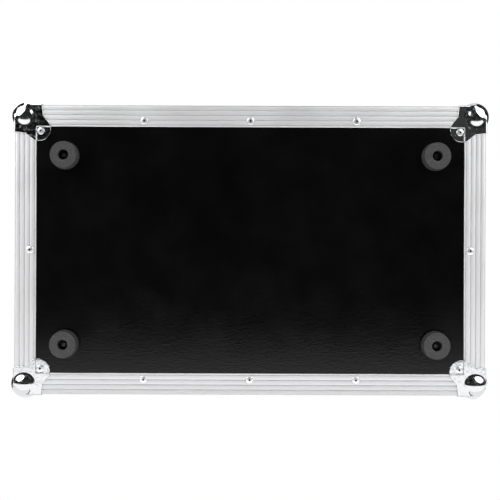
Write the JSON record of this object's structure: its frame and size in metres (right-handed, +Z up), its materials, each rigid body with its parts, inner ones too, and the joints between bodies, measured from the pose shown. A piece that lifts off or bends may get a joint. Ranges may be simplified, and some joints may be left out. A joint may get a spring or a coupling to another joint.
{
  "type": "guitar pedal case",
  "caption": "Rigid touring case for guitar pedals, black laminated panels in ribbed aluminium rails, with ball corners, rubber feet, hinged lid, twist latches and a sprung handle",
  "frame": {"origin": "centre of the case in plan, on the floor plane under its four feet", "axes": "+Z up, X along the long side, front with latches and handle at -Y, hinges at +Y"},
  "size_m": [0.622, 0.387, 0.1886],
  "materials": {
    "laminated_plywood": "matt black pebbled laminate on birch plywood",
    "ribbed_aluminium": "natural anodised extrusion, ribbed",
    "chromed_steel": "pressed steel, bright nickel and chrome plate",
    "zinc_plated_steel": "bright zinc plate",
    "steel_rivets": "domed blind rivets",
    "foot_rubber": "moulded black rubber",
    "grip_rubber": "moulded black grip",
    "loop_carpet": "black loop pile",
    "lining_foam": "charcoal open-cell foam"
  },
  "bodies": {
    "tray": {"base_bottom_panel": "laminated_plywood", "base_front_panel": "laminated_plywood", "base_right_panel": "laminated_plywood", "base_back_panel": "laminated_plywood", "base_left_panel": "laminated_plywood", "bottom_rail_front": "ribbed_aluminium", "bottom_rail_right": "ribbed_aluminium", "bottom_rail_back": "ribbed_aluminium", "bottom_rail_left": "ribbed_aluminium", "base_corner_posts": "ribbed_aluminium", "base_seam_profiles": "ribbed_aluminium", "base_ball_corner_fl": "chromed_steel", "base_ball_corner_fr": "chromed_steel", "base_ball_corner_br": "chromed_steel", "base_ball_corner_bl": "chromed_steel", "rubber_foot_fl": "foot_rubber", "rubber_foot_fr": "foot_rubber", "rubber_foot_br": "foot_rubber", "rubber_foot_bl": "foot_rubber", "foot_washers": "zinc_plated_steel", "foot_screws": "zinc_plated_steel", "base_rivets": "steel_rivets", "floor_mat": "loop_carpet", "base_lining": "lining_foam", "latch_dish_left": "zinc_plated_steel", "latch_dish_right": "zinc_plated_steel", "latch_plates": "zinc_plated_steel", "handle_dish": "zinc_plated_steel", "hinge_base_leaf_left": "zinc_plated_steel", "hinge_base_leaf_right": "zinc_plated_steel", "hinge_pins": "zinc_plated_steel"},
    "lid": {"lid_top_panel": "laminated_plywood", "lid_front_panel": "laminated_plywood", "lid_right_panel": "laminated_plywood", "lid_back_panel": "laminated_plywood", "lid_left_panel": "laminated_plywood", "lid_rail_front": "ribbed_aluminium", "lid_rail_right": "ribbed_aluminium", "lid_rail_back": "ribbed_aluminium", "lid_rail_left": "ribbed_aluminium", "lid_corner_posts": "ribbed_aluminium", "lid_seam_profiles": "ribbed_aluminium", "lid_ball_corner_fl": "chromed_steel", "lid_ball_corner_fr": "chromed_steel", "lid_ball_corner_br": "chromed_steel", "lid_ball_corner_bl": "chromed_steel", "lid_rivets": "steel_rivets", "lid_foam": "lining_foam", "keeper_dish_left": "zinc_plated_steel", "keeper_dish_right": "zinc_plated_steel", "hinge_lid_leaf_left": "zinc_plated_steel", "hinge_lid_leaf_right": "zinc_plated_steel"},
    "hook_left": {"latch_hook_left": "zinc_plated_steel"},
    "rotor_left": {"latch_rotor_left": "zinc_plated_steel"},
    "wing_left": {"latch_wing_left": "zinc_plated_steel"},
    "hook_right": {"latch_hook_right": "zinc_plated_steel"},
    "rotor_right": {"latch_rotor_right": "zinc_plated_steel"},
    "wing_right": {"latch_wing_right": "zinc_plated_steel"},
    "handle": {"handle_bow": "zinc_plated_steel", "handle_grip": "grip_rubber"}
  },
  "joints": [
    {"name": "lid_hinge", "type": "hinge", "parent": "tray", "child": "lid", "pos_m": [0, 0.1907, 0.1184], "axis": [-1, 0, 0], "range_deg": [0, 100]},
    {"name": "latch_left_turn", "type": "hinge", "parent": "tray", "child": "rotor_left", "pos_m": [-0.19, -0.1875, 0.0922], "axis": [0, 1, 0], "range_deg": [0, 180]},
    {"name": "latch_left_hook", "type": "slide", "parent": "tray", "child": "hook_left", "axis": [0, 0.2873, -0.9578], "range_m": [0, 0.01045]},
    {"name": "latch_left_wing", "type": "hinge", "parent": "rotor_left", "child": "wing_left", "pos_m": [-0.19, -0.1865, 0.0922], "axis": [-1, 0, 0], "range_deg": [0, 90]},
    {"name": "latch_right_turn", "type": "hinge", "parent": "tray", "child": "rotor_right", "pos_m": [0.19, -0.1875, 0.0922], "axis": [0, 1, 0], "range_deg": [0, 180]},
    {"name": "latch_right_hook", "type": "slide", "parent": "tray", "child": "hook_right", "axis": [0, 0.2873, -0.9578], "range_m": [0, 0.01045]},
    {"name": "latch_right_wing", "type": "hinge", "parent": "rotor_right", "child": "wing_right", "pos_m": [0.19, -0.1865, 0.0922], "axis": [-1, 0, 0], "range_deg": [0, 90]},
    {"name": "handle_swing", "type": "hinge", "parent": "tray", "child": "handle", "pos_m": [0, -0.18, 0.0877], "axis": [-1, 0, 0], "range_deg": [0, 90], "stiffness_Nm_per_rad": 0.08, "springref_deg": -28.65}
  ],
  "couplings": [
    {"joint": "latch_left_hook", "follows": "latch_left_turn", "m_per_rad": 0.0033233},
    {"joint": "latch_right_hook", "follows": "latch_right_turn", "m_per_rad": 0.0033233}
  ]
}
